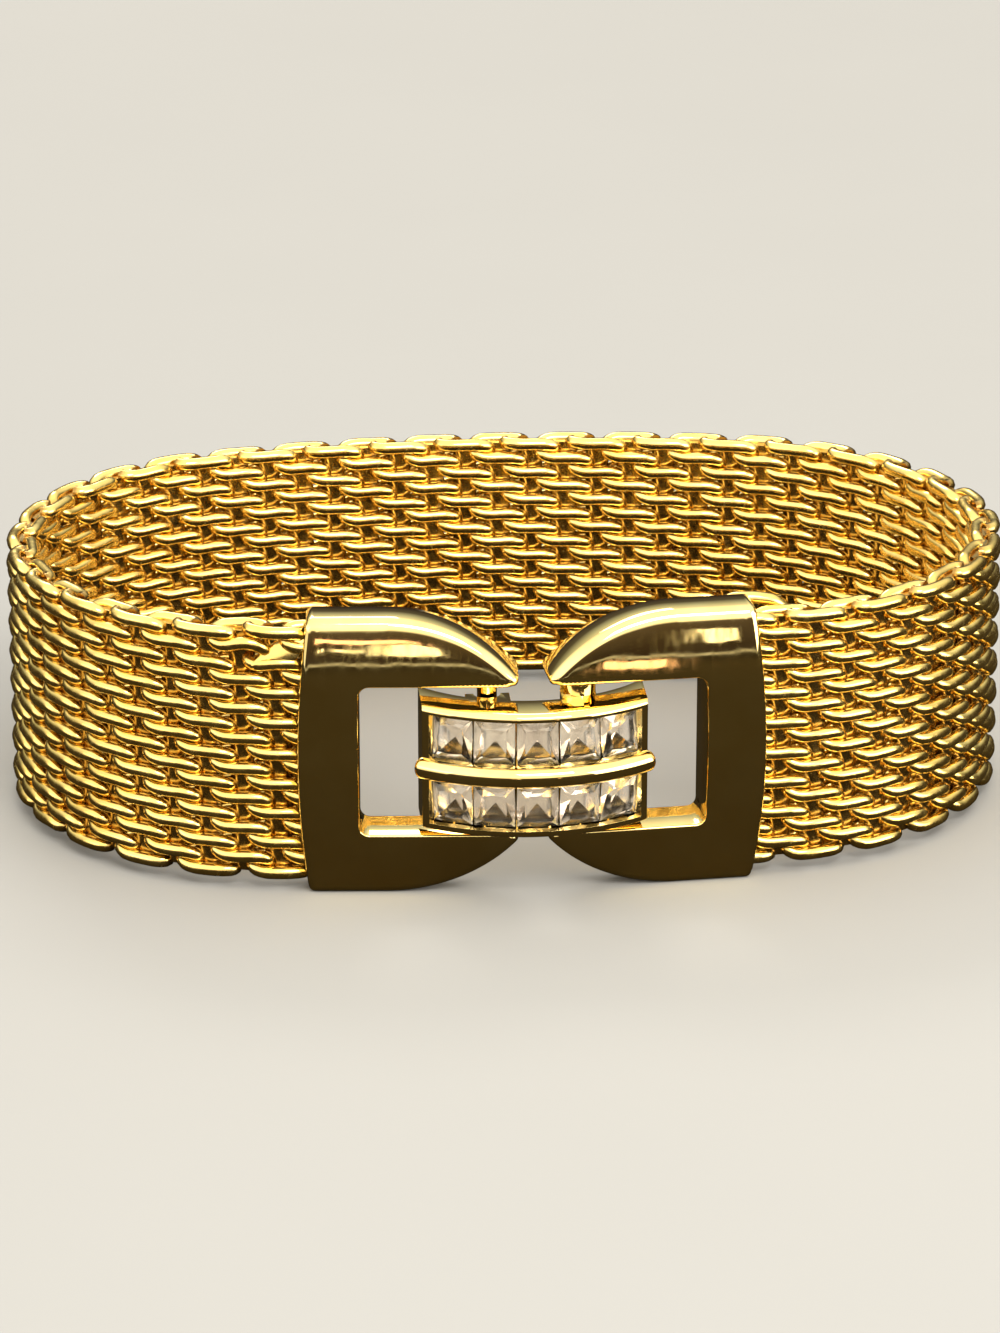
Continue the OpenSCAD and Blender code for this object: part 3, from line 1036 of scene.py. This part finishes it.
def level_square(name, half, height, material):
    """A square of the stage that lies level, sized in metres."""
    corners = [(-half, -half, height), (half, -half, height), (half, half, height), (-half, half, height)]
    return new_object(name, corners, [(0, 1, 2, 3)], material)


def make_floor():
    """The plain pale floor."""
    material = make_plain("pale_floor", (0.36, 0.355, 0.345), 0.9)
    floor = level_square("floor", 3.0, 0.0, material)


def make_dark_card():
    """A dark card on the floor that only polished metal sees, as jewellery is photographed."""
    material = make_plain("dark_card", (0.024, 0.019, 0.011), 0.8)
    material.node_tree.nodes["Principled BSDF"].inputs["Specular IOR Level"].default_value = 0.0
    card = level_square("dark_card", 1.2, 0.02 * MM, material)
    card.visible_camera = False
    card.visible_diffuse = False
    card.visible_shadow = False
    card.visible_transmission = False


def make_world():
    """A soft studio dome, bright overhead and dark at the horizon, with a higher dark edge at the rear."""
    world = bpy.data.worlds.new("studio")
    world.use_nodes = True
    bpy.context.scene.world = world
    tree = world.node_tree
    place = tree.nodes.new("ShaderNodeTexCoord")
    split = tree.nodes.new("ShaderNodeSeparateXYZ")
    tree.links.new(place.outputs["Generated"], split.inputs["Vector"])
    front = dome_ramp(tree, split.outputs["Z"], FRONT_SKY)
    rear = dome_ramp(tree, split.outputs["Z"], REAR_SKY)
    side = tree.nodes.new("ShaderNodeMapRange")
    side.inputs["From Min"].default_value = SKY_TURN[0]
    side.inputs["From Max"].default_value = SKY_TURN[1]
    tree.links.new(split.outputs["Y"], side.inputs["Value"])
    colour = mix_colours(tree, side.outputs["Result"], front, rear)
    tree.links.new(colour, tree.nodes["Background"].inputs["Color"])
    tree.nodes["Background"].inputs["Strength"].default_value = SKY_STRENGTH


def dome_ramp(tree, height, colours):
    """A colour that follows the height through a list of heights and colours."""
    ramp = tree.nodes.new("ShaderNodeValToRGB")
    stops = ramp.color_ramp.elements
    stops[0].position = colours[0][0]
    stops[0].color = (*colours[0][1], 1)
    stops[1].position = colours[-1][0]
    stops[1].color = (*colours[-1][1], 1)
    for position, colour in colours[1:-1]:
        stops.new(position).color = (*colour, 1)
    tree.links.new(height, ramp.inputs["Fac"])
    return ramp.outputs["Color"]


def add_light(name, place, size, power, colour):
    """A soft oblong light at a place in metres, turned to the bracelet and unseen by the camera."""
    data = bpy.data.lights.new(name, "AREA")
    data.shape = "RECTANGLE"
    data.size, data.size_y = size
    data.energy = power
    data.color = colour
    light = bpy.data.objects.new(name, data)
    light.location = place
    light.rotation_euler = (-Vector(place)).to_track_quat("-Z", "Y").to_euler()
    light.visible_camera = False
    bpy.context.scene.collection.objects.link(light)


def make_lights():
    """The soft lights and the streaks, whose power goes with their size so that all look as bright."""
    for light in LIGHTS:
        add_light(*light)
    for number, (place, size, colour) in enumerate(STREAKS, 1):
        power = STREAK_RADIANCE * math.pi * size[0] * size[1]
        add_light(f"streak_{number}", place, size, power, colour)


def make_camera():
    """The photograph's view, from the front and a little above."""
    data = bpy.data.cameras.new("camera")
    data.sensor_fit = "VERTICAL"
    data.lens = CAMERA_FOCAL * data.sensor_height
    data.clip_start = 0.01
    camera = bpy.data.objects.new("camera", data)
    back = Vector((0, -math.cos(CAMERA_ELEVATION), math.sin(CAMERA_ELEVATION)))
    camera.location = CAMERA_TARGET + CAMERA_DISTANCE * back
    camera.rotation_euler = back.to_track_quat("Z", "Y").to_euler()
    bpy.context.scene.collection.objects.link(camera)
    bpy.context.scene.camera = camera


bpy.context.scene.view_settings.view_transform = "Standard"
make_camera()
make_floor()
make_dark_card()
make_world()
make_lights()

polished_gold = make_polished_gold()
make_band(make_mesh_gold())
make_frame("left_frame", -1, polished_gold)
make_frame("right_frame", 1, polished_gold)
make_bar(polished_gold)
make_stones(make_crystal(), make_foil())

bpy.context.view_layer.update()
